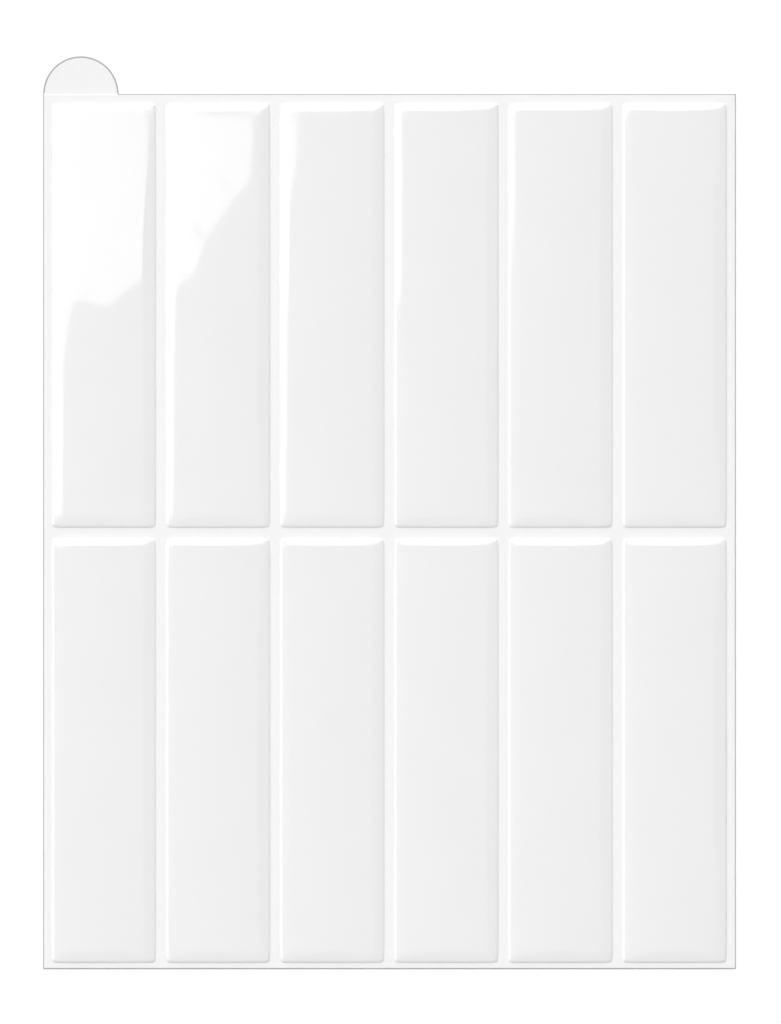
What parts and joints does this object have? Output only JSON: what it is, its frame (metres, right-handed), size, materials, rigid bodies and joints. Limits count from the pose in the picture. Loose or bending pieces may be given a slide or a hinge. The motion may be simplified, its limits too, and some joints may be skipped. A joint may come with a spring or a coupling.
{
  "type": "peel and stick backsplash tile",
  "caption": "Peel and stick backsplash sheet: raised gloss gel tiles in straight columns on a printed film, over a paper release liner with a half-round peel tab.",
  "frame": {"origin": "centre of the back face of the rectangular sheet, without its tab", "axes": "+X to the sheet's right, +Y along its length to the edge that has the peel tab, +Z out of the tiled face"},
  "size_m": [0.2312, 0.3046, 0.0016],
  "materials": {
    "tile_gel": "gloss",
    "grout_film": "matte",
    "liner_paper": "satin"
  },
  "bodies": {
    "root": {"release_liner": "liner_paper", "backing_film": "grout_film", "gel_tile_r1_c1": "tile_gel", "gel_tile_r1_c2": "tile_gel", "gel_tile_r1_c3": "tile_gel", "gel_tile_r1_c4": "tile_gel", "gel_tile_r1_c5": "tile_gel", "gel_tile_r1_c6": "tile_gel", "gel_tile_r2_c1": "tile_gel", "gel_tile_r2_c2": "tile_gel", "gel_tile_r2_c3": "tile_gel", "gel_tile_r2_c4": "tile_gel", "gel_tile_r2_c5": "tile_gel", "gel_tile_r2_c6": "tile_gel"}
  },
  "joints": []
}
